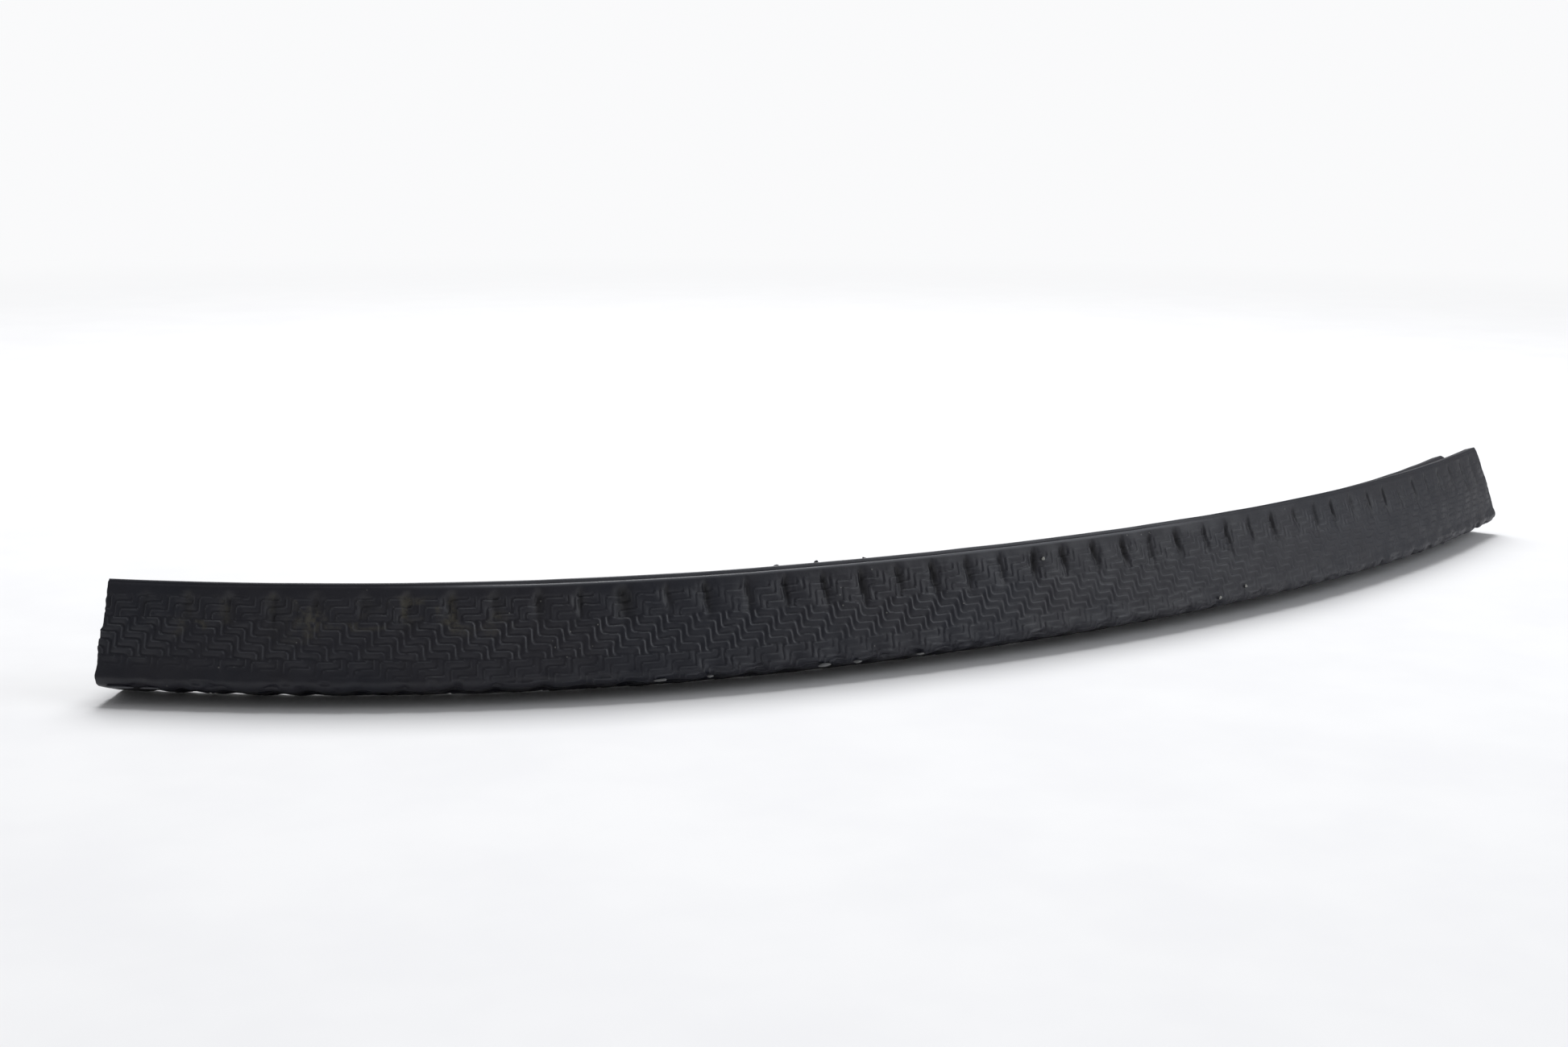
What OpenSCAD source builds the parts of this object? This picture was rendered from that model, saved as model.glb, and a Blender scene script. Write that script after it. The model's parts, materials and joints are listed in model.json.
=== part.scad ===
// A length of flexible U-shaped edge trim, lying on a table in the curve that it keeps from
// its coil. A rubber jacket covers a row of separate steel clips, and two stay cords run
// through it from end to end, so that the strip bends but doesn't stretch.
// Each profile is drawn with its outer face on x = 0 and its height along y, the slot
// opening upwards, and is then leaned over and swept along the curve.

/* [Profile] */
// Height of the profile, from the closed back to the rims
height = 14.5; // [13.5:0.5:18]
// Width of the profile, over both legs
width = 9.5; // [9:0.5:12]
// Radius of the two outer corners of the closed back
back_r = 1.5; // [1:0.25:3]
// Radius along the outer edge of each rim
rim_r = 0.6; // [0.3:0.1:0.9]

/* [Slot] */
// Width of the slot that takes the panel
slot_w = 3.3; // [2.8:0.1:3.5]
// Thickness of the closed back under the slot
back_t = 3.3; // [3.2:0.1:3.6]
// Radius of the two lower corners of the slot
slot_r = 0.8; // [0.4:0.1:1.2]
// Width of the bevel that leads a panel into the slot
lead_in = 0.6; // [0.3:0.1:0.8]

/* [Grip fins] */
// Number of fins on each wall of the slot
fin_count = 3; // [1:1:3]
// Spacing of the fins up the wall
fin_pitch = 2.9; // [2.6:0.1:2.9]
// Height of the lowest fin's root above the slot's floor
fin_first = 3; // [2.6:0.1:3]
// Thickness of a fin at its root
fin_t = 0.7; // [0.5:0.1:0.9]
// How far a fin reaches into the slot
fin_reach = 1.2; // [0.8:0.1:1.3]
// How far a fin's tip hangs below its root
fin_drop = 1.1; // [0.8:0.1:1.3]

/* [Steel clips] */
// Clips in the tighter curve at the left end
tight_clips = 16; // [8:1:20]
// Clips in the open curve, from there to the right end
open_clips = 30; // [10:1:36]
// Spacing of the clips along the strip
clip_pitch = 5.85; // [5:0.05:7]
// Gap between one clip and the next
clip_gap = 1.25; // [1:0.05:2]
// Thickness of the clips' sheet steel
steel_t = 0.8; // [0.5:0.1:0.9]
// Outer radius of a clip's two bends
bend_r = 1.4; // [1:0.1:2]
// Rubber between a clip and the jacket's outer faces
cover = 1.1; // [0.9:0.1:1.2]
// Rubber between a clip's ends and the rims
rim_cover = 1.5; // [1:0.1:2]
// Room around a clip in its pocket
clip_room = 0.05; // [0.02:0.01:0.08]

/* [Stay cords] */
// Diameter of a stay cord
cord_d = 0.6; // [0.4:0.1:0.7]
// Distance between the two stay cords
cord_spacing = 2.6; // [2:0.1:3]
// Height of the cords above the clips' webs
cord_lift = 0.2; // [0.15:0.05:0.25]

/* [Lie of the strip] */
// Lean of the profile, away from upright
lean = 20; // [0:1:30]
// Radius of the tighter curve, at the outer face
tight_r = 165; // [140:5:250]
// Radius of the open curve, at the outer face
open_r = 300; // [250:5:400]

/* [Hidden] */
$fn = 48;
// Fragments in a full turn of the sweep, enough to draw its long curves smoothly
sweep_fn = 720;

clip_count = tight_clips + open_clips;
function clip_name(i) = str("steel_clip_", i < 10 ? "0" : "", i);

// Places along the strip are counted in clip spacings from where its curve changes, with the
// tighter curve to the left, at negative places. The strip heads along +X there, and curves
// towards +Y both ways.
tight_step = clip_pitch / tight_r * 180 / PI;
open_step = clip_pitch / open_r * 180 / PI;
function heading(place) = place * (place < 0 ? tight_step : open_step);

// The origin is the middle of the strip's footprint. The footprint's limits are where the
// outer lower corner and the inner rim come at the change and at the two ends.
outer_reach = back_r - back_r * cos(lean) + (height / 2 - back_r) * sin(lean);
inner_reach = rim_r + (width - rim_r) * cos(lean) + (height / 2 - rim_r) * sin(lean);
left = heading(-tight_clips);
right = heading(open_clips);
x_min = (tight_r + outer_reach) * sin(left);
x_max = (open_r + outer_reach) * sin(right);
y_min = -outer_reach;
y_max = max(
    tight_r - (tight_r - inner_reach) * cos(left),
    open_r - (open_r - inner_reach) * cos(right)
);
// Height of the profile's own origin when its inner lower corner rests on the table
rest_z = back_r + (width - back_r) * sin(lean) + (height / 2 - back_r) * cos(lean);

axis_x = -width / 2;
bottom = -height / 2;
top = height / 2;
floor_y = bottom + back_t;
cord_y = bottom + cover + steel_t + cord_lift + cord_d / 2;
weld = 0.3;
over = 1;

// Sweeps a profile along the strip, from one place to another on the same curve
module sweep(from, to) {
    radius = min(from, to) < 0 ? tight_r : open_r;
    translate([-(x_min + x_max) / 2, -(y_min + y_max) / 2, rest_z])
        translate([0, radius, 0])
            rotate([0, 0, heading(from) - 90])
                rotate_extrude(angle = heading(to) - heading(from), $fn = sweep_fn)
                    translate([radius, 0])
                        rotate(lean)
                            children();
}

// Sweeps a profile along the whole strip
module full_sweep() {
    sweep(0, -tight_clips) children();
    sweep(0, open_clips) children();
}

// A block of this half width about the slot's centre line, with rounded lower corners
module round_bottomed(half_w, y_low, y_high, r) {
    translate([axis_x - half_w, y_low + r])
        square([2 * half_w, y_high - y_low - r]);
    translate([axis_x - half_w + r, y_low])
        square([2 * (half_w - r), y_high - y_low]);
    for (side = [-1, 1])
        translate([axis_x + side * (half_w - r), y_low + r])
            circle(r);
}

module fin(side, y) {
    wall = axis_x + side * slot_w / 2;
    polygon([
        [wall + side * weld, y],
        [wall, y],
        [wall - side * fin_reach, y - fin_drop],
        [wall - side * fin_reach, y - fin_drop - fin_t / 2],
        [wall, y - fin_t],
        [wall + side * weld, y - fin_t]
    ]);
}

module jacket_section() {
    difference() {
        union() {
            round_bottomed(width / 2, bottom, top - rim_r, back_r);
            round_bottomed(width / 2 - rim_r, 0, top, 0.1);
            for (side = [-1, 1])
                translate([axis_x + side * (width / 2 - rim_r), top - rim_r])
                    circle(rim_r);
        }
        round_bottomed(slot_w / 2, floor_y, top + over, slot_r);
        polygon([
            [axis_x - slot_w / 2, top - lead_in],
            [axis_x + slot_w / 2, top - lead_in],
            [axis_x + slot_w / 2 + lead_in + over, top + over],
            [axis_x - slot_w / 2 - lead_in - over, top + over]
        ]);
    }
    for (i = [0:fin_count - 1], side = [-1, 1])
        fin(side, floor_y + fin_first + i * fin_pitch);
}

// A clip's section, or with room its pocket's
module clip_section(room = 0) {
    leg_end = top - rim_cover;
    half_w = width / 2 - cover;
    difference() {
        round_bottomed(half_w + room, bottom + cover - room, leg_end + room, bend_r + room);
        round_bottomed(
            half_w - steel_t - room,
            bottom + cover + steel_t + room,
            top + over,
            bend_r - steel_t - room
        );
    }
}

// One clip's length of the strip, counted from the left, or with room its pocket's
module clip_sweep(i, room = 0) {
    margin = (clip_gap / 2 - room) / clip_pitch;
    start = i - 1 - tight_clips;
    sweep(start + margin, start + 1 - margin)
        clip_section(room);
}

module cord_section(side) {
    translate([axis_x + side * cord_spacing / 2, cord_y])
        circle(d = cord_d);
}

module rubber_jacket() {
    color("#2c2d2f")
        difference() {
            full_sweep() jacket_section();
            for (i = [1:clip_count])
                clip_sweep(i, clip_room);
            for (side = [-1, 1])
                full_sweep() cord_section(side);
        }
}

module steel_clip(i) {
    color("silver")
        clip_sweep(i);
}

module stay_cord(side) {
    color("ivory")
        full_sweep() cord_section(side);
}

rubber_jacket();
for (i = [1:clip_count])
    steel_clip(i);
stay_cord(1);  // stay_cord_outer
stay_cord(-1);  // stay_cord_inner
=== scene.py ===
"""A length of U-shaped rubber edge trim with a core of separate steel clips, lying on a pale table.

The rubber jacket is rebuilt here with its embossed grain, creases and scalloped lower edge. It is in one section
for each joint, each section reaching across its joint. Lengths are in millimetres until place() puts a point
in the frame, in metres.
"""

import json
import math

import bmesh
import bpy
import numpy as np
from mathutils import Matrix, Vector


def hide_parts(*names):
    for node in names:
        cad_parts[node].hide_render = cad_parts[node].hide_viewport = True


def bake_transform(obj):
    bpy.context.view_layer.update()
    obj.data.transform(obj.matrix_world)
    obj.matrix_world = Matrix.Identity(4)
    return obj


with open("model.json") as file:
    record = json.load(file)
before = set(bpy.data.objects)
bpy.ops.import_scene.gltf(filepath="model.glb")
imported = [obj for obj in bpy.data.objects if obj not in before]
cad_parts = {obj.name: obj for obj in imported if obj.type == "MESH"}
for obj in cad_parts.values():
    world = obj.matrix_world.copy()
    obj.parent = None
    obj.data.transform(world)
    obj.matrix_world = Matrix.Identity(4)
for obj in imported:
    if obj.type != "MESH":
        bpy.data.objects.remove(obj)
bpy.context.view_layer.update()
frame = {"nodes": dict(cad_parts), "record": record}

# ---------------------------------------------------------------- driving dimensions, as in the CAD model
HEIGHT, WIDTH, BACK_R, RIM_R = 14.5, 9.5, 1.5, 0.6
SLOT_W, BACK_T, SLOT_R, LEAD_IN = 3.3, 3.3, 0.8, 0.6
FIN_COUNT, FIN_PITCH, FIN_FIRST, FIN_T, FIN_REACH, FIN_DROP = 3, 2.9, 3.0, 0.7, 1.2, 1.1
COVER, STEEL_T = 1.1, 0.8
CORD_D, CORD_SPACING, CORD_LIFT = 0.6, 2.6, 0.2
TIGHT_CLIPS, OPEN_CLIPS, PITCH = 16, 30, 5.85
TIGHT_R, OPEN_R = 165.0, 300.0
LEAN = math.radians(20)
MM = 0.001

TOP, BOTTOM, MIDDLE_X = HEIGHT / 2, -HEIGHT / 2, -WIDTH / 2
FLOOR_Y = BOTTOM + BACK_T
CORD_Y = BOTTOM + COVER + STEEL_T + CORD_LIFT + CORD_D / 2

# ---------------------------------------------------------------- where the strip lies
OUTER_REACH = BACK_R - BACK_R * math.cos(LEAN) + (HEIGHT / 2 - BACK_R) * math.sin(LEAN)
INNER_REACH = RIM_R + (WIDTH - RIM_R) * math.cos(LEAN) + (HEIGHT / 2 - RIM_R) * math.sin(LEAN)
LEFT_TURN, RIGHT_TURN = -TIGHT_CLIPS * PITCH / TIGHT_R, OPEN_CLIPS * PITCH / OPEN_R
LEFT_END_X = (TIGHT_R + OUTER_REACH) * math.sin(LEFT_TURN)
RIGHT_END_X = (OPEN_R + OUTER_REACH) * math.sin(RIGHT_TURN)
CENTRE_X = (LEFT_END_X + RIGHT_END_X) / 2
CENTRE_Y = (
    max(
        TIGHT_R - (TIGHT_R - INNER_REACH) * math.cos(LEFT_TURN),
        OPEN_R - (OPEN_R - INNER_REACH) * math.cos(RIGHT_TURN),
    )
    - OUTER_REACH
) / 2
REST_Z = BACK_R + (WIDTH - BACK_R) * math.sin(LEAN) + (HEIGHT / 2 - BACK_R) * math.cos(LEAN)


def place(s, x, y):
    """Points in the frame, in metres, from s along the strip and x, y in its leaned profile."""
    s, x, y = np.broadcast_arrays(np.asarray(s, float), x, y)
    radius = np.where(s < 0, TIGHT_R, OPEN_R)
    reach = radius + x * math.cos(LEAN) - y * math.sin(LEAN)
    return MM * np.stack(
        [
            reach * np.sin(s / radius) - CENTRE_X,
            radius - reach * np.cos(s / radius) - CENTRE_Y,
            REST_Z + x * math.sin(LEAN) + y * math.cos(LEAN),
        ],
        -1,
    )


# ---------------------------------------------------------------- small helpers
CELLS = 256
LATTICE = np.random.default_rng(11).random((CELLS, CELLS)) - 0.5


def ramp(lo, hi, v):
    """0 below lo, 1 above hi, and smooth between them."""
    t = np.clip((v - lo) / (hi - lo), 0, 1)
    return t * t * (3 - 2 * t)


def fall(lo, hi, v):
    """1 below lo, 0 above hi, and smooth between them."""
    return 1 - ramp(lo, hi, v)


def bell(v, width):
    return np.exp(-((v / width) ** 2))


def along_line(points):
    """The distance of each point from the first one, along the line through them."""
    return np.concatenate([[0], np.cumsum(np.linalg.norm(np.diff(points, axis=0), axis=1))])


def noise(u, v):
    """Smooth noise from -0.5 to 0.5, with one cell to each unit of u and v."""
    i, j = np.floor(u).astype(int), np.floor(v).astype(int)
    a, b = ramp(0, 1, u - i), ramp(0, 1, v - j)
    i, j, i_next, j_next = i % CELLS, j % CELLS, (i + 1) % CELLS, (j + 1) % CELLS
    low = LATTICE[i, j] * (1 - a) + LATTICE[i_next, j] * a
    high = LATTICE[i, j_next] * (1 - a) + LATTICE[i_next, j_next] * a
    return low * (1 - b) + high * b


def arc(cx, cy, r, a0, a1, steps):
    """Points round a centre, from angle a0 to a1 in degrees."""
    a = np.radians(np.linspace(a0, a1, steps + 1))
    return np.stack([cx + r * np.cos(a), cy + r * np.sin(a)], -1)


def line(x0, y0, x1, y1, steps):
    t = np.linspace(0, 1, steps + 1)[:, None]
    return np.array([x0, y0]) * (1 - t) + np.array([x1, y1]) * t


def chain(*runs):
    """Joins runs of points, each starting where the one before ends."""
    return np.concatenate([runs[0]] + [r[1:] for r in runs[1:]])


def filleted(corners, r, steps=3):
    """A line through the corners, each of them rounded off."""
    most = 0.45  # of a side's length
    out = [corners[0]]
    for before, at, after in zip(corners, corners[1:], corners[2:]):
        before, at, after = map(np.array, (before, at, after))
        one = at + (before - at) * min(most, r / np.linalg.norm(before - at))
        two = at + (after - at) * min(most, r / np.linalg.norm(after - at))
        for t in np.linspace(0, 1, steps + 1):
            out.append(one * (1 - t) ** 2 + at * 2 * t * (1 - t) + two * t * t)
    out.append(corners[-1])
    return np.array(out)


# ---------------------------------------------------------------- the jacket's outline
# The outline runs down the near face, under the back, up the far face, and back through the slot.
FACE_ROWS, FAR_ROWS, CORNER_ROWS, BACK_ROWS = 76, 52, 15, 26
outer_line = chain(
    arc(-RIM_R, TOP - RIM_R, RIM_R, 90, 0, 8),
    line(0, TOP - RIM_R, 0, BOTTOM + BACK_R, FACE_ROWS),
    arc(-BACK_R, BOTTOM + BACK_R, BACK_R, 0, -90, CORNER_ROWS),
    line(-BACK_R, BOTTOM, BACK_R - WIDTH, BOTTOM, BACK_ROWS),
    arc(BACK_R - WIDTH, BOTTOM + BACK_R, BACK_R, 270, 180, 12),
    line(-WIDTH, BOTTOM + BACK_R, -WIDTH, TOP - RIM_R, FAR_ROWS),
    arc(RIM_R - WIDTH, TOP - RIM_R, RIM_R, 180, 90, 5),
)


def wall_corners(side):
    """The slot's wall from the rim down to the floor's middle, on side -1 (far) or 1 (near)."""
    wall = MIDDLE_X + side * SLOT_W / 2
    rim_end = MIDDLE_X + side * (WIDTH / 2 - RIM_R)
    corners = [(rim_end, TOP), (wall + side * LEAD_IN, TOP), (wall, TOP - LEAD_IN)]
    for i in reversed(range(FIN_COUNT)):
        y = FLOOR_Y + FIN_FIRST + i * FIN_PITCH
        corners += [
            (wall, y),
            (wall - side * FIN_REACH, y - FIN_DROP),
            (wall - side * FIN_REACH, y - FIN_DROP - FIN_T / 2),
            (wall, y - FIN_T),
        ]
    corners += [(wall, FLOOR_Y + SLOT_R / 2), (wall - side * SLOT_R / 2, FLOOR_Y), (MIDDLE_X, FLOOR_Y)]
    return corners


FIN_FILLET = 0.22
far_wall = filleted(wall_corners(-1), FIN_FILLET)
near_wall = filleted(wall_corners(1), FIN_FILLET)[::-1]
inner_line = chain(far_wall, near_wall)[1:-1]
ROWS, SLOT_ROWS = len(outer_line), len(inner_line)


def outward(points, before, after):
    """Outward directions along part of an outline that has its solid on the right. The outline's points before and
    after that part are given too."""
    d = np.gradient(points, axis=0)
    d[0], d[-1] = points[1] - before, after - points[-2]
    n = np.stack([-d[:, 1], d[:, 0]], -1)
    return n / np.linalg.norm(n, axis=1)[:, None]


outer_out = outward(outer_line, inner_line[-1], inner_line[0])

# ---------------------------------------------------------------- columns along the strip
# The slot has a column to each unit of grain, and the outer skin has FINE of them
GRAIN_UNITS, FINE = 7, 5
GRAIN_W, GRAIN_H = PITCH / GRAIN_UNITS, 1.0
S_LEFT, S_RIGHT = -TIGHT_CLIPS * PITCH, OPEN_CLIPS * PITCH
PLACES = TIGHT_CLIPS + OPEN_CLIPS
columns = np.linspace(S_LEFT, S_RIGHT, PLACES * GRAIN_UNITS * FINE + 1)
slot_columns = columns[::FINE]
S = columns[:, None]
N = S / PITCH
# Each row's run round the outline, offset so that on the near face it is the depth below the top
RIM_OFFSET = RIM_R * (1 - math.pi / 2)
run = along_line(outer_line) + RIM_OFFSET
whole_run = run[-1] + RIM_OFFSET
# Which side a row is on, and how far down from its own rim it is
near = (run < whole_run / 2)[None, :]
down = np.where(near, run, whole_run - run)
# How far down the flat of a face ends, and where its belly is
FLAT, HALF_DOWN = HEIGHT - BACK_R, 7.2


# ---------------------------------------------------------------- the embossed grain
STAIR_ACROSS, STAIR_DOWN, STAIR_SOFT = 3, 2, 0.55


def rounding(a, b):
    """How much a corner where two distances cross is rounded off."""
    return (np.maximum(STAIR_SOFT - np.abs(a - b), 0) / STAIR_SOFT) ** 2 * STAIR_SOFT / 4


def stair(u, v):
    """Distance past a stair that steps across and down, with its corners rounded. A copy of the stair one across
    and one up is exactly 1 less."""
    first = np.floor((u - v - STAIR_ACROSS) / (STAIR_ACROSS + STAIR_DOWN))
    past = None
    for step in (first + m for m in range(-1, 3)):
        a, b = u - STAIR_ACROSS * step - STAIR_ACROSS, v + STAIR_DOWN * step
        corner = np.maximum(a, b) + rounding(a, b)
        past = corner if past is None else np.minimum(past, corner) - rounding(past, corner)
    return past


def ribbon(t):
    """The rise of a ribbon of grain across its width: out of the crevice, up to a rounded edge, and off it."""
    t = t % 1
    return np.maximum(0.62 * ramp(0, 0.42, t) + 0.38 * ramp(0.35, 0.82, t) - ramp(0.84, 1.0, t), 0)


# Three bands of stairs, one below the other: they step down to the left, to the right, and to the left again
GRAIN_DEPTH = 0.24
BAND_TOP, BAND_H, BAND_EDGE = 5.0, 5.2, 0.12
drift = np.where(near, ramp(-18, 6, N), 0.4)
band_y = (BAND_TOP + drift - down) / GRAIN_H + 0.3 * noise(S / 2.1 + 17, down / 1.9)
wander = 0.25 * noise(S / 9, down / 5) + 0.24 * noise(S / 2.3, down / 1.7)
u = S / GRAIN_W + wander + np.where(near, 0.0, 2.3)
in_upper = ramp(-BAND_EDGE, BAND_EDGE, band_y)
in_lower = fall(-BAND_H - BAND_EDGE, -BAND_H + BAND_EDGE, band_y)
upper, middle, lower = (ribbon(stair(*at)) for at in ((-u, band_y), (u, band_y), (-u + 1, band_y + BAND_H)))
rise = upper * in_upper + middle * (1 - in_upper) * (1 - in_lower) + lower * in_lower
# The grain is worn away in patches, most of all in the lower band and at the right end
patchy = 0.5 + 0.9 * noise(S / 2.6 + 40, down / 1.5) + 0.6 * noise(S / 8 + 40, down / 4)
upper_share = np.clip(0.47 + 0.5 * patchy, 0.2, 1.0)
middle_share = np.clip(0.6 + 0.5 * patchy, 0.45, 1.15)
lower_share = np.clip(0.35 + 0.5 * patchy, 0.15, 0.85)
grain_share = upper_share + (middle_share - upper_share) * fall(-0.3, 0.3, band_y)
grain_share = grain_share + (lower_share - middle_share) * fall(-5.6, -4.8, band_y)
grain_end = np.where(near, 11.6 + 4.2 * ramp(-15, 0, N), 15.5)
grain_share = grain_share * ramp(1.8, 2.6, down) * fall(-0.9, 0.5, down - grain_end)
grain_share = grain_share * (1 - 0.25 * ramp(3, 9, N)) * (1 - 0.64 * ramp(11, 25, N))

# ---------------------------------------------------------------- creases over the gaps between clips
draw = np.random.default_rng(23)
shift, tilt = draw.normal(0, 0.16, PLACES + 1), draw.normal(0, 0.03, PLACES + 1)
force, crease_end = draw.uniform(0.55, 1.15, PLACES + 1), draw.uniform(6.2, 8.6, PLACES + 1)
scallop_force = draw.uniform(0.6, 1.15, PLACES + 1)
# The fourth gap to the left of the change of curve has a wide, smooth crease
WIDE_CREASE = TIGHT_CLIPS - 4
force[WIDE_CREASE] = 1.2
force[[0, -1]] = scallop_force[[0, -1]] = 0
# The gap that is nearest to each column, and how far to the right of that gap's crease each point is
gap = np.clip(np.rint(N).astype(int) + TIGHT_CLIPS, 0, PLACES)
waver = 0.35 * noise(S * 0 + gap * 3.7, down / 1.1)
aside = S - (gap - TIGHT_CLIPS) * PITCH - shift[gap] - tilt[gap] * (down - 4) - waver
strength = force[gap] * ramp(0.9, 2.4, down) * fall(0.45, 1, down / crease_end[gap])
strength = strength * (1 - 0.45 * ramp(15, 27, N))
wide = gap == WIDE_CREASE
soft_left = fall(-8, -4.5, N)
thin = (0.17 + 0.05 * down) * (1 + 1.1 * soft_left) * np.where(wide, 2.6, 1.0)
crease = strength * (0.42 * (1 - 0.35 * soft_left) * bell(aside, thin) + 0.19 * bell(aside, 0.95))
crease = crease * np.where(near, 1, 0.55)
wrinkle = strength * bell(aside, 1.5) * np.where(wide, 0.05, 0.16) * (0.5 + noise(S / 0.42, down / 1.6))
scallop = scallop_force[gap] * 0.27 * bell(aside, 1.15) * ramp(FLAT - 2.5, FLAT + 1.5, down)
scallop = scallop * np.where(near, 1, fall(-13, -9.5, N))
swell = 0.05 * (1 - np.cos(2 * math.pi * N)) / 2 * ramp(1.5, 4, down)

# ---------------------------------------------------------------- rim, lumps and nicks
# The rim's light line, a shoulder in the relief plus a painted highlight, runs out towards the ends
line_end = fall(10, 15, N)
shoulder = 0.3 * fall(0.45, 0.9, down) * np.clip(outer_out[:, 0], 0, 1)
rim_line = shoulder * (0.3 + 0.7 * ramp(-9, -5, N) * line_end)
rim_wave = 0.06 * (0.5 + noise(S / 6 + 5, down * 0)) * fall(0.5, 2, down)
lumps = 0.05 * (0.5 + noise(S / 2.6, down / 2.2)) + 0.03 * (0.5 + noise(S / 0.9 + 9, down / 0.8))
lumps = lumps * ramp(0.3, 1.5, down)
edge_lumps = 0.28 * ramp(0.05, 0.4, noise(S / 1.7 + 70, down / 0.9)) * ramp(FLAT - 0.5, FLAT + 1, down)
edge_lumps = edge_lumps * ramp(-15.6, -14.2, N)
# The faces stand out a little at half height
belly = 0.26 * ((down - HALF_DOWN) / HALF_DOWN) ** 2 * fall(FLAT - 1.5, FLAT + 0.5, down) * np.abs(outer_out[:, 0])

# How far each point of the skin lies inside the CAD model's outline
SINK = 0.05
depth = GRAIN_DEPTH * (1 - rise) * grain_share + crease + wrinkle + scallop + SINK - swell
depth = depth + rim_line + rim_wave + lumps + edge_lumps + belly

# ---------------------------------------------------------------- the cut ends
# How far in the cut's unevenness reaches, and an offset that gives the slot's walls noise of their own
CUT_REACH, SLOT_RUN_START = 2.5, 60
slot_run = along_line(inner_line) + SLOT_RUN_START
SLOT_SINK = 0.04


def cut(s, along):
    """Moves the last columns back from the ends, as an uneven knife cut leaves them."""
    ragged = 0.12 + 0.2 * noise(along / 1.3, along * 0) + 0.14 * noise(along / 0.45 + 31, along * 0)
    burr = 0.22 * bell(along - 7.0, 0.3) + 0.12 * bell(along - 9.4, 0.3)
    back = np.clip(ragged + 0.36 * fall(6.6, 9.0, along) - burr, 0.02, 0.7)
    left = back * np.clip(1 - (s - S_LEFT) / CUT_REACH, 0, 1)
    right = np.clip(ragged, 0.02, 0.4) * np.clip(1 - (S_RIGHT - s) / CUT_REACH, 0, 1)
    return s + left - right


outer_s = cut(S, run[None, :])
slot_s = cut(slot_columns[:, None], slot_run[None, :])
sunk_x, sunk_y = (outer_line[:, axis] - outer_out[:, axis] * depth for axis in (0, 1))
outer_points = place(outer_s, sunk_x, sunk_y)
slot_wave = 0.05 * noise(slot_s / 3, slot_run[None, :] / 2)
slot_points = place(slot_s, inner_line[:, 0] + slot_wave, inner_line[:, 1] - SLOT_SINK)

# ---------------------------------------------------------------- what the materials read, from 0 to 1
# The second layer is painted highlight and the fourth is painted shade in the creases over the gaps
LAYERS = ("dust", "wear", "cut", "crease_shade", "pale")
crease_mark = np.clip(strength * bell(aside, 0.8), 0, 1)
dusty = ramp(-15, -13.5, N) * fall(-8, -5.5, N) * ramp(-0.1, 0.3, noise(S / 1.1 + 3, down / 0.9))
loose = dusty * ramp(0.05, 0.35, noise(S / 3.1, down / 2)) * ramp(1.6, 3, down) * fall(6, 9, down)
patch = bell(N + 11.15, 0.4) * bell(down - 5.2, 2.0) * ramp(-0.25, 0.15, noise(S / 0.6, down / 0.7))
near_dust = crease_mark * (0.1 + 0.6 * dusty) + 0.75 * loose + 0.9 * patch
dust = np.where(near, near_dust, 0.15 * crease_mark)
# Painted highlight: a light line along the near rim and light colour on the raised edges of the grain's ribbons
rim_highlight_paint = (1.3 * bell(down - 0.68, 0.24) + 0.3 * fall(0.4, 0.6, down)) * ramp(-10, -6, N) * line_end
wear = 0.45 * ramp(0.93, 1.0, rise) * grain_share + np.where(near, rim_highlight_paint, 0)
# Painted shade: the creases over the gaps between clips are coloured darker where shade falls in them
crease_shade = strength * bell(aside, np.where(wide, 1.3, 0.45)) * np.where(near, 0.6 - 0.2 * soft_left, 0.2)
none = np.zeros_like(dust)
paint = np.stack([np.clip(share, 0, 1) for share in (dust, wear, none, crease_shade, none)], -1)


def coat(count, **shares):
    """The same shares of the layers at a number of points, 0 where they aren't named."""
    return np.tile([shares.get(layer, 0.0) for layer in LAYERS], (count, 1))


# ---------------------------------------------------------------- meshes
def face_normals(points, faces):
    """Each face's normal, as long as twice its area."""
    p = points[faces]
    q = np.roll(p, -1, axis=1)
    return np.cross(p - p[:, :1], q - p[:, :1]).sum(1)


TINY = 1e-18


def vertex_normals(points, groups):
    """Smooth normals, for which each face counts with the root of its area."""
    total = np.zeros_like(points)
    for faces in groups:
        n = face_normals(points, faces)
        area = np.linalg.norm(n, axis=1)[:, None]
        n = n / np.maximum(area, TINY) * area**0.5
        for corner in faces.T:
            for axis in range(3):
                total[:, axis] += np.bincount(corner, n[:, axis], len(points))
    return total / np.maximum(np.linalg.norm(total, axis=1), TINY)[:, None]


def skin_faces(first, last):
    """Faces of the jacket's skin between two of the slot's columns, and the point numbers of the outer skin and of
    the slot. The points are the outer skin's, column by column, and then the slot's."""
    across, coarse = (last - first) * FINE + 1, last - first + 1
    outer = np.arange(across * ROWS).reshape(across, ROWS)
    slot = across * ROWS + np.arange(coarse * SLOT_ROWS).reshape(coarse, SLOT_ROWS)

    def quads(grid):
        return np.stack([grid[:-1, :-1], grid[:-1, 1:], grid[1:, 1:], grid[1:, :-1]], -1).reshape(-1, 4)

    steps = [outer[i : across - FINE + i : FINE] for i in range(FINE)] + [outer[FINE::FINE]]
    near_rim = np.stack([slot[:-1, -1]] + [c[:, 0] for c in steps] + [slot[1:, -1]], -1)
    far_rim = [steps[0][:, -1], slot[:-1, 0], slot[1:, 0]] + [c[:, -1] for c in steps[:0:-1]]
    far_rim = np.stack(far_rim, -1)
    return [quads(outer), quads(slot), near_rim, far_rim], outer, slot


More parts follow.
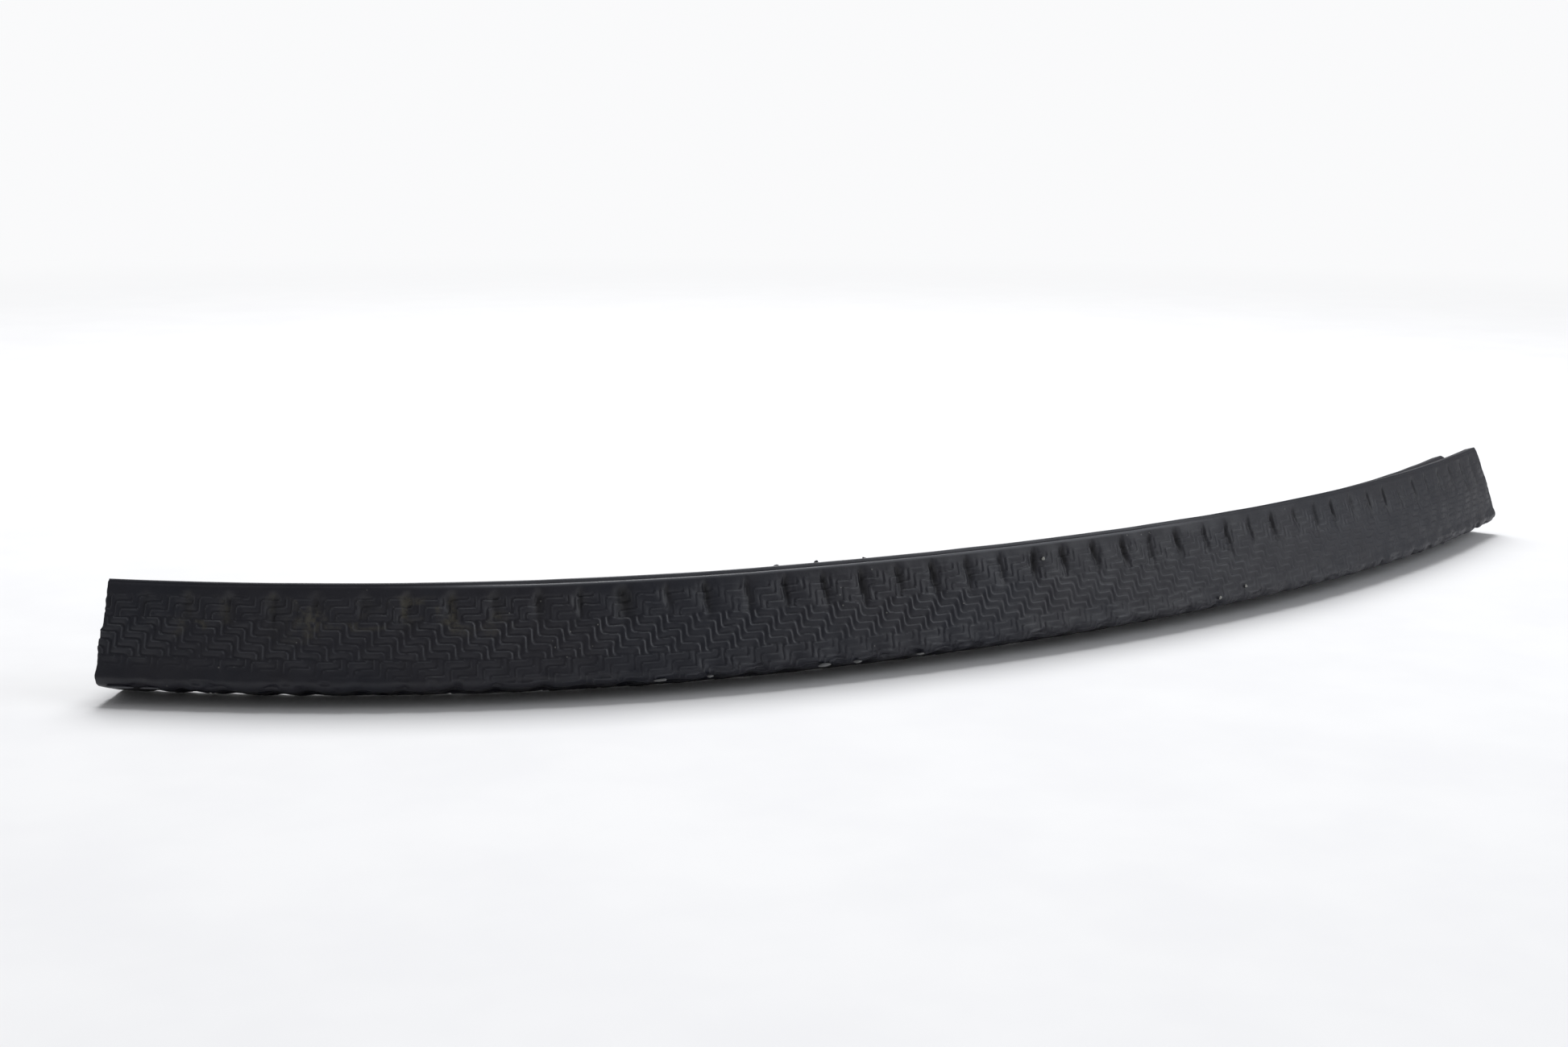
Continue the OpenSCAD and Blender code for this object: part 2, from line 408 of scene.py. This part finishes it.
all_points = np.concatenate([outer_points.reshape(-1, 3), slot_points.reshape(-1, 3)])
all_faces, _, _ = skin_faces(0, PLACES * GRAIN_UNITS)
all_normals = vertex_normals(all_points, all_faces)
outer_count = ROWS * len(columns)
outer_normals = all_normals[:outer_count].reshape(outer_points.shape)
slot_normals = all_normals[outer_count:].reshape(slot_points.shape)


def make_mesh(name, parts, material):
    """An object from parts, each of them points, groups of faces, normals and paint."""
    points, normals, colours = (np.concatenate([part[i] for part in parts]) for i in (0, 2, 3))
    loops, sizes, base = [], [], 0
    for part in parts:
        for faces in part[1]:
            loops.append((faces + base).ravel())
            sizes.append(np.full(len(faces), faces.shape[1]))
        base += len(part[0])
    loops, sizes = np.concatenate(loops), np.concatenate(sizes)
    mesh = bpy.data.meshes.new(name)
    mesh.vertices.add(len(points))
    mesh.vertices.foreach_set("co", points.astype(np.float32).ravel())
    mesh.loops.add(len(loops))
    mesh.loops.foreach_set("vertex_index", loops.astype(np.int32))
    mesh.polygons.add(len(sizes))
    mesh.polygons.foreach_set("loop_start", (np.cumsum(sizes) - sizes).astype(np.int32))
    mesh.update(calc_edges=True)
    for layer, values in zip(LAYERS, colours.T):
        mesh.attributes.new(layer, "FLOAT", "POINT").data.foreach_set("value", values.astype(np.float32))
    mesh.shade_smooth()
    mesh.normals_split_custom_set_from_vertices(normals.astype(np.float32))
    mesh.materials.append(material)
    thing = bpy.data.objects.new(name, mesh)
    bpy.context.scene.collection.objects.link(thing)
    return thing


def tangent(s):
    """The strip's direction at s, in the frame."""
    turn = s / (TIGHT_R if s < 0 else OPEN_R)
    return np.array([math.cos(turn), math.sin(turn), 0])


def cap(points, direction):
    """A flat end, on its own points."""
    order = np.arange(len(points))[None, :]
    if direction @ face_normals(points, order)[0] < 0:
        order = order[:, ::-1]
    normals = np.tile(direction, (len(points), 1))
    return points, [order], normals, coat(len(points), cut=1.0)


def lump(s, x, y, size, seed, **shares):
    """A small uneven lump, with its half sizes along the strip, across it and up."""
    ball = bmesh.new()
    bmesh.ops.create_icosphere(ball, subdivisions=2, radius=1)
    co = np.array([v.co for v in ball.verts])
    faces = np.array([[v.index for v in f.verts] for f in ball.faces])
    ball.free()
    co = co * (1 + 0.8 * noise(co[:, :1] * 1.3 + seed, co[:, 1:2] * 1.3 + co[:, 2:]))
    ahead, up = tangent(s), np.array([0, 0, 1])
    side = np.cross(up, ahead)
    points = co[:, :1] * size[0] * ahead + co[:, 1:2] * size[1] * side + co[:, 2:] * size[2] * up
    points = place(s, x, y) + MM * points
    return points, [faces], vertex_normals(points, [faces]), coat(len(points), cut=0.1, **shares)


# ---------------------------------------------------------------- materials
def start(name):
    """A new material, its node tree, its shader and the position that its textures follow."""
    material = bpy.data.materials.new(name)
    material.use_nodes = True
    tree = material.node_tree
    tree.nodes.clear()
    output = tree.nodes.new("ShaderNodeOutputMaterial")
    shader = tree.nodes.new("ShaderNodeBsdfPrincipled")
    tree.links.new(shader.outputs[0], output.inputs[0])
    where = tree.nodes.new("ShaderNodeTexCoord").outputs["Object"]
    return material, tree, shader, where


def node(tree, kind, values=(), links=(), **settings):
    """A shader node with its inputs' values, the sockets linked to its inputs, and its own settings."""
    made = tree.nodes.new("ShaderNode" + kind)
    for key, value in settings.items():
        setattr(made, key, value)
    for key, value in dict(values).items():
        made.inputs[key].default_value = value
    for key, source in dict(links).items():
        tree.links.new(source, made.inputs[key])
    return made


def grit(tree, where, scale, detail=2.0, rough=0.5):
    values = {"Scale": scale, "Detail": detail, "Roughness": rough}
    return node(tree, "TexNoise", values, {"Vector": where}).outputs[0]


def between(tree, value, lo, hi, to_lo=0.0, to_hi=1.0):
    values = {1: lo, 2: hi, 3: to_lo, 4: to_hi}
    return node(tree, "MapRange", values, {0: value}, interpolation_type="SMOOTHSTEP").outputs[0]


def times(tree, a, b):
    made = node(tree, "Math", operation="MULTIPLY")
    for i, value in enumerate((a, b)):
        if isinstance(value, float):
            made.inputs[i].default_value = value
        else:
            tree.links.new(value, made.inputs[i])
    return made.outputs[0]


def plus(tree, a, b):
    return node(tree, "Math", {}, {0: a, 1: b}, operation="ADD").outputs[0]


def mixed(tree, share, a, b):
    made = node(tree, "Mix", data_type="RGBA")
    for i, value in ((6, a), (7, b)):
        if isinstance(value, tuple):
            made.inputs[i].default_value = (*value, 1)
        else:
            tree.links.new(value, made.inputs[i])
    tree.links.new(share, made.inputs[0])
    return made.outputs[2]


def cells(tree, where, scale):
    """The distance from the middles of scattered cells."""
    return node(tree, "TexVoronoi", {"Scale": scale}, {"Vector": where}).outputs["Distance"]


def streaks(tree, where, stretch, scale, detail):
    """Fine streaks along the strip."""
    stretched = node(tree, "Mapping", {"Scale": (stretch, 1.0, 1.0)}, {"Vector": where}).outputs[0]
    return between(tree, grit(tree, stretched, scale, detail, 0.6), 0.3, 0.7)


def emboss(tree, shader, height, strength, distance):
    bump = node(tree, "Bump", {"Strength": strength, "Distance": distance}, {"Height": height})
    tree.links.new(bump.outputs[0], shader.inputs["Normal"])


COLD_BLACK, WARM_BLACK, BLOOM = (0.0040, 0.0052, 0.0118), (0.0074, 0.0070, 0.0122), (0.0130, 0.0132, 0.0195)
# The next row holds the grey of the painted highlights and the black of the painted shade in the creases
HIGHLIGHT_PAINT, CREASE_SHADE_BLACK, FLECKED = (0.098, 0.101, 0.112), (0.003, 0.003, 0.0045), (0.22, 0.22, 0.2)
# The pale colour on the last row is lint on the specks and painted light on the tears
DUSTY, CUT_RUBBER, PALE_LINT_AND_LIGHT = (0.048, 0.044, 0.035), (0.018, 0.018, 0.019), (0.3, 0.3, 0.27)


def rubber_material():
    material, tree, shader, where = start("black_rubber")
    share = {name: node(tree, "Attribute", attribute_name=name).outputs["Fac"] for name in LAYERS}
    smudge = between(tree, grit(tree, where, 55, 3), 0.35, 0.65)
    mottle = between(tree, grit(tree, where, 420, 4, 0.6), 0.3, 0.75)
    rare = between(tree, grit(tree, where, 160, 2), 0.53, 0.6)
    fleck = times(tree, between(tree, cells(tree, where, 620), 0.05, 0.085, 1.0, 0.0), rare)
    clumps = between(tree, grit(tree, where, 1500, 3, 0.7), 0.35, 0.6, 0.25)
    colour = mixed(tree, smudge, COLD_BLACK, WARM_BLACK)
    colour = mixed(tree, times(tree, mottle, 0.5), colour, BLOOM)
    # Painted highlights lighten the grain's edges, the rim line and the loose bits, and painted shade darkens the
    # creases
    colour = mixed(tree, share["wear"], colour, HIGHLIGHT_PAINT)
    colour = mixed(tree, share["crease_shade"], colour, CREASE_SHADE_BLACK)
    colour = mixed(tree, times(tree, fleck, 0.5), colour, FLECKED)
    colour = mixed(tree, times(tree, share["dust"], clumps), colour, DUSTY)
    colour = mixed(tree, times(tree, share["cut"], 0.8), colour, CUT_RUBBER)
    colour = mixed(tree, share["pale"], colour, PALE_LINT_AND_LIGHT)
    tree.links.new(colour, shader.inputs["Base Color"])
    rough = between(tree, grit(tree, where, 300, 3), 0.25, 0.75, 0.41, 0.56)
    rough = plus(tree, rough, times(tree, plus(tree, share["dust"], share["cut"]), 0.25))
    rough = plus(tree, rough, times(tree, share["wear"], -0.12))
    tree.links.new(rough, shader.inputs["Roughness"])
    shader.inputs["Specular IOR Level"].default_value = 0.42
    fine = plus(tree, grit(tree, where, 2600, 3, 0.6), times(tree, grit(tree, where, 9000, 2), 0.4))
    emboss(tree, shader, fine, 0.5, 0.04 * MM)
    return material


ZINC_DARK, ZINC_LIGHT, ZINC_STREAK = (0.42, 0.43, 0.45), (0.55, 0.56, 0.57), (0.33, 0.33, 0.34)


def steel_material():
    material, tree, shader, where = start("galvanised_steel")
    streak = streaks(tree, where, 0.12, 5200, 3)
    spangle = between(tree, cells(tree, where, 520), 0.1, 0.6)
    colour = mixed(tree, spangle, ZINC_DARK, ZINC_LIGHT)
    colour = mixed(tree, times(tree, streak, 0.4), colour, ZINC_STREAK)
    tree.links.new(colour, shader.inputs["Base Color"])
    tree.links.new(between(tree, streak, 0, 1, 0.28, 0.46), shader.inputs["Roughness"])
    shader.inputs["Metallic"].default_value = 1.0
    emboss(tree, shader, streak, 0.4, 0.02 * MM)
    return material


FIBRE_DARK, FIBRE_LIGHT = (0.5, 0.47, 0.38), (0.78, 0.75, 0.66)


def fibre_material():
    material, tree, shader, where = start("glass_fibre")
    strands = streaks(tree, where, 0.08, 14000, 2)
    tree.links.new(mixed(tree, strands, FIBRE_DARK, FIBRE_LIGHT), shader.inputs["Base Color"])
    tree.links.new(between(tree, strands, 0, 1, 0.6, 0.42), shader.inputs["Roughness"])
    emboss(tree, shader, strands, 0.5, 0.03 * MM)
    return material


TABLE_DARK, TABLE_LIGHT, STUDIO_WHITE = (0.80, 0.80, 0.81), (0.83, 0.83, 0.835), (0.955, 0.957, 0.965, 1)
TABLE_FADE = (0.22, 0.85)


def floor_material():
    material, tree, shader, where = start("pale_table")
    soft = between(tree, grit(tree, where, 35, 3, 0.6), 0.3, 0.7)
    tree.links.new(mixed(tree, soft, TABLE_DARK, TABLE_LIGHT), shader.inputs["Base Color"])
    shader.inputs["Roughness"].default_value = 0.6
    shader.inputs["Specular IOR Level"].default_value = 0.25
    # Far from the strip the table fades into the studio's white, so that it has no visible end
    away = node(tree, "VectorMath", {}, {0: where}, operation="LENGTH").outputs["Value"]
    faded = between(tree, away, *TABLE_FADE)
    glow = node(tree, "Emission", {"Color": STUDIO_WHITE, "Strength": 1.0})
    blended = node(tree, "MixShader", {}, {0: faded, 1: shader.outputs[0], 2: glow.outputs[0]})
    tree.links.new(blended.outputs[0], tree.nodes["Material Output"].inputs[0])
    return material


rubber, steel, fibre = rubber_material(), steel_material(), fibre_material()

# ---------------------------------------------------------------- sections, one across each joint
body_clips = {
    body: sorted(int(n[-2:]) for n in nodes if n.startswith("steel_clip_"))
    for body, nodes in frame["record"]["behaviour"]["bodies"].items()
}
bodies = sorted(body_clips, key=lambda body: body_clips[body][0])


def first_place(body):
    """Where a body's first clip starts, in clip spacings from the change of curve."""
    return body_clips[body][0] - 1 - TIGHT_CLIPS


def middle_place(body):
    """The gap between clips that is nearest a body's middle, where two sections meet."""
    return (first_place(body) + body_clips[body][-1] - TIGHT_CLIPS) // 2


BLEND_REACH = 11.0
limits = [-TIGHT_CLIPS] + [middle_place(body) for body in bodies[1:-1]] + [OPEN_CLIPS]

# Loose bits, by their place along the strip in clip spacings: the half sizes of the crumbs on the near rim and of
# the tears under the near lower corner, and how far below the rim the pale specks are
CRUMBS = {-0.1: (0.5, 0.3, 0.24), 0.95: (0.3, 0.25, 0.3), 2.25: (0.3, 0.2, 0.2)}
TEARS = {
    -15.4: (1.8, 0.3, 0.16),
    -14.7: (1.3, 0.25, 0.12),
    -3.3: (0.9, 0.3, 0.2),
    -2.1: (0.5, 0.3, 0.2),
    0.75: (1.1, 0.3, 0.25),
    1.6: (0.7, 0.35, 0.2),
    3.3: (0.6, 0.3, 0.2),
}
SPECKS = {14.2: 12.2, 13.1: 13.2, 7.3: 3.1}
CRUMB_X, TEAR_X, TEAR_Y, SPECK_X = -1.6, -0.78, BOTTOM + 0.1, -0.1
SPECK_SIZE = (0.28, 0.14, 0.28)


def bits(first, last):
    """The loose bits between two places along the strip."""

    def here(found):
        return [(n, n * PITCH, value) for n, value in found.items() if first <= n < last]

    crumbs = [lump(s, CRUMB_X, TOP, size, 10 * n, wear=0.05) for n, s, size in here(CRUMBS)]
    # The tears are painted lighter with the highlight and pale colours, as painted light on them where they lie in
    # shade
    tears = [
        lump(s, TEAR_X, TEAR_Y, size, 7 * n, wear=0.9, pale=0.2 if n > -4 else 0.0) for n, s, size in here(TEARS)
    ]
    # The specks are pale lint, lightened further with painted highlight
    specks = [lump(s, SPECK_X, TOP - low, SPECK_SIZE, 5 * n, wear=0.9, pale=0.7) for n, s, low in here(SPECKS)]
    return crumbs + tears + specks


def blend_across(piece, after):
    """Bakes a piece's transform. The point on the strip's core at the joint between two bodies, and a step along
    the strip from it, are worked out but not used.
    """
    hinge = first_place(after) * PITCH
    middle, step = place(hinge, MIDDLE_X, CORD_Y), MM * BLEND_REACH * tangent(hinge)
    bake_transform(piece)


def jacket_section(i, first, last, before, after):
    a, b = (first + TIGHT_CLIPS) * GRAIN_UNITS, (last + TIGHT_CLIPS) * GRAIN_UNITS
    faces, outer, slot = skin_faces(a, b)
    fine = slice(a * FINE, b * FINE + 1)
    coarse = slice(a, b + 1)
    points = np.concatenate([outer_points[fine].reshape(-1, 3), slot_points[coarse].reshape(-1, 3)])
    normals = np.concatenate([outer_normals[fine].reshape(-1, 3), slot_normals[coarse].reshape(-1, 3)])
    colours = np.concatenate([paint[fine].reshape(-1, len(LAYERS)), coat(slot.size)])
    parts = [(points, faces, normals, colours)]
    for column, s, sign in ((0, first * PITCH, -1), (-1, last * PITCH, 1)):
        ring = points[np.concatenate([outer[column], slot[column]])]
        parts.append(cap(ring, sign * tangent(s)))
    parts += bits(first, last)
    piece = make_mesh(f"rubber_jacket_{i:02d}", parts, rubber)
    blend_across(piece, after)
    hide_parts("rubber_jacket")


STRANDS, TURN_LENGTH, CORD_SIDES, RINGS_PER_CLIP = 5, 4.0, 20, 12


def cord_section(name, node_name, side, first, last, before, after):
    """A stay cord's length in one section: twisted strands of glass fibre."""
    s = np.linspace(first * PITCH, last * PITCH, (last - first) * RINGS_PER_CLIP + 1)[:, None]
    turn = np.linspace(0, 2 * math.pi, CORD_SIDES, endpoint=False)[None, :]
    twist = turn - 2 * math.pi * s / TURN_LENGTH
    r = CORD_D / 2 * (0.9 + 0.1 * np.abs(np.cos(twist * STRANDS / 2)))
    x, y = MIDDLE_X + side * CORD_SPACING / 2 + r * np.cos(turn), CORD_Y + r * np.sin(turn)
    grid = place(s + 0 * turn, x, y)
    index = np.arange(grid.size // 3).reshape(grid.shape[:2])
    beside = np.roll(index, -1, axis=1)
    faces = np.stack([index[:-1], index[1:], beside[1:], beside[:-1]], -1).reshape(-1, 4)
    points = grid.reshape(-1, 3)
    normals = vertex_normals(points, [faces])
    if (normals[0] @ (points[0] - grid[0].mean(0))) < 0:
        faces, normals = faces[:, ::-1], -normals
    parts = [(points, [faces], normals, coat(len(points)))]
    for ring, at, sign in ((grid[0], first * PITCH, -1), (grid[-1], last * PITCH, 1)):
        parts.append(cap(ring, sign * tangent(at)))
    piece = make_mesh(name, parts, fibre)
    blend_across(piece, after)
    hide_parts(node_name)


for i, (first, last) in enumerate(zip(limits, limits[1:])):
    pair = (bodies[i], bodies[i + 1])
    jacket_section(i + 1, first, last, *pair)
    cord_section(f"stay_cord_outer_{i + 1:02d}", "stay_cord_outer", 1, first, last, *pair)
    cord_section(f"stay_cord_inner_{i + 1:02d}", "stay_cord_inner", -1, first, last, *pair)

for name, clip in frame["nodes"].items():
    if name.startswith("steel_clip_"):
        clip.data.materials.clear()
        clip.data.materials.append(steel)

# ---------------------------------------------------------------- stage, light and camera
FLOOR_SIZE = 12.0
half = FLOOR_SIZE / 2
floor_corners = [(-half, -half, 0), (half, -half, 0), (half, half, 0), (-half, half, 0)]
floor_mesh = bpy.data.meshes.new("table")
floor_mesh.from_pydata(floor_corners, [], [(0, 1, 2, 3)])
floor_mesh.materials.append(floor_material())
floor = bpy.data.objects.new("table", floor_mesh)
bpy.context.scene.collection.objects.link(floor)

world = bpy.data.worlds.new("studio")
bpy.context.scene.world = world
world.use_nodes = True
background = world.node_tree.nodes["Background"]
background.inputs["Color"].default_value = STUDIO_WHITE
# The studio's walls light the strip less than the camera sees them
SKY_LIGHT, SKY_SEEN = 0.3, 1.0
seen = world.node_tree.nodes.new("ShaderNodeLightPath").outputs["Is Camera Ray"]
level = world.node_tree.nodes.new("ShaderNodeMapRange")
level.inputs[3].default_value, level.inputs[4].default_value = SKY_LIGHT, SKY_SEEN
world.node_tree.links.new(seen, level.inputs[0])
world.node_tree.links.new(level.outputs[0], background.inputs["Strength"])


def softbox(name, at, size, power, tint):
    """A square light that faces the middle of the strip."""
    light = bpy.data.lights.new(name, "AREA")
    light.shape, light.size, light.energy, light.color = "SQUARE", size, power, tint
    lamp = bpy.data.objects.new(name, light)
    lamp.location = at
    lamp.rotation_euler = (-Vector(at)).to_track_quat("-Z", "Y").to_euler()
    bpy.context.scene.collection.objects.link(lamp)


softbox("top_softbox", (0.1, 0.4, 0.82), 0.6, 9.2, (0.985, 0.99, 1.0))
softbox("right_softbox", (0.72, -0.48, 0.46), 0.7, 3.0, (0.93, 0.96, 1.0))

# The camera as fitted to the photo: its place, its lens on a 36 mm sensor, and its angles
CAMERA_AT, LENS = (-0.15065, -0.28557, 0.07778), 48.1
HEADING, DIP, ROLL = math.radians(23.35), math.radians(11.13), math.radians(0.44)
camera_data = bpy.data.cameras.new("camera")
camera_data.sensor_width, camera_data.lens = 36.0, LENS
camera_data.clip_start, camera_data.clip_end = 0.01, 50.0
camera = bpy.data.objects.new("camera", camera_data)
camera.location = CAMERA_AT
aimed = Matrix.Rotation(-HEADING, 4, "Z") @ Matrix.Rotation(math.pi / 2 - DIP, 4, "X")
camera.rotation_euler = (aimed @ Matrix.Rotation(ROLL, 4, "Z")).to_euler()
bpy.context.scene.collection.objects.link(camera)
bpy.context.scene.camera = camera
bpy.context.scene.view_settings.view_transform = "Standard"
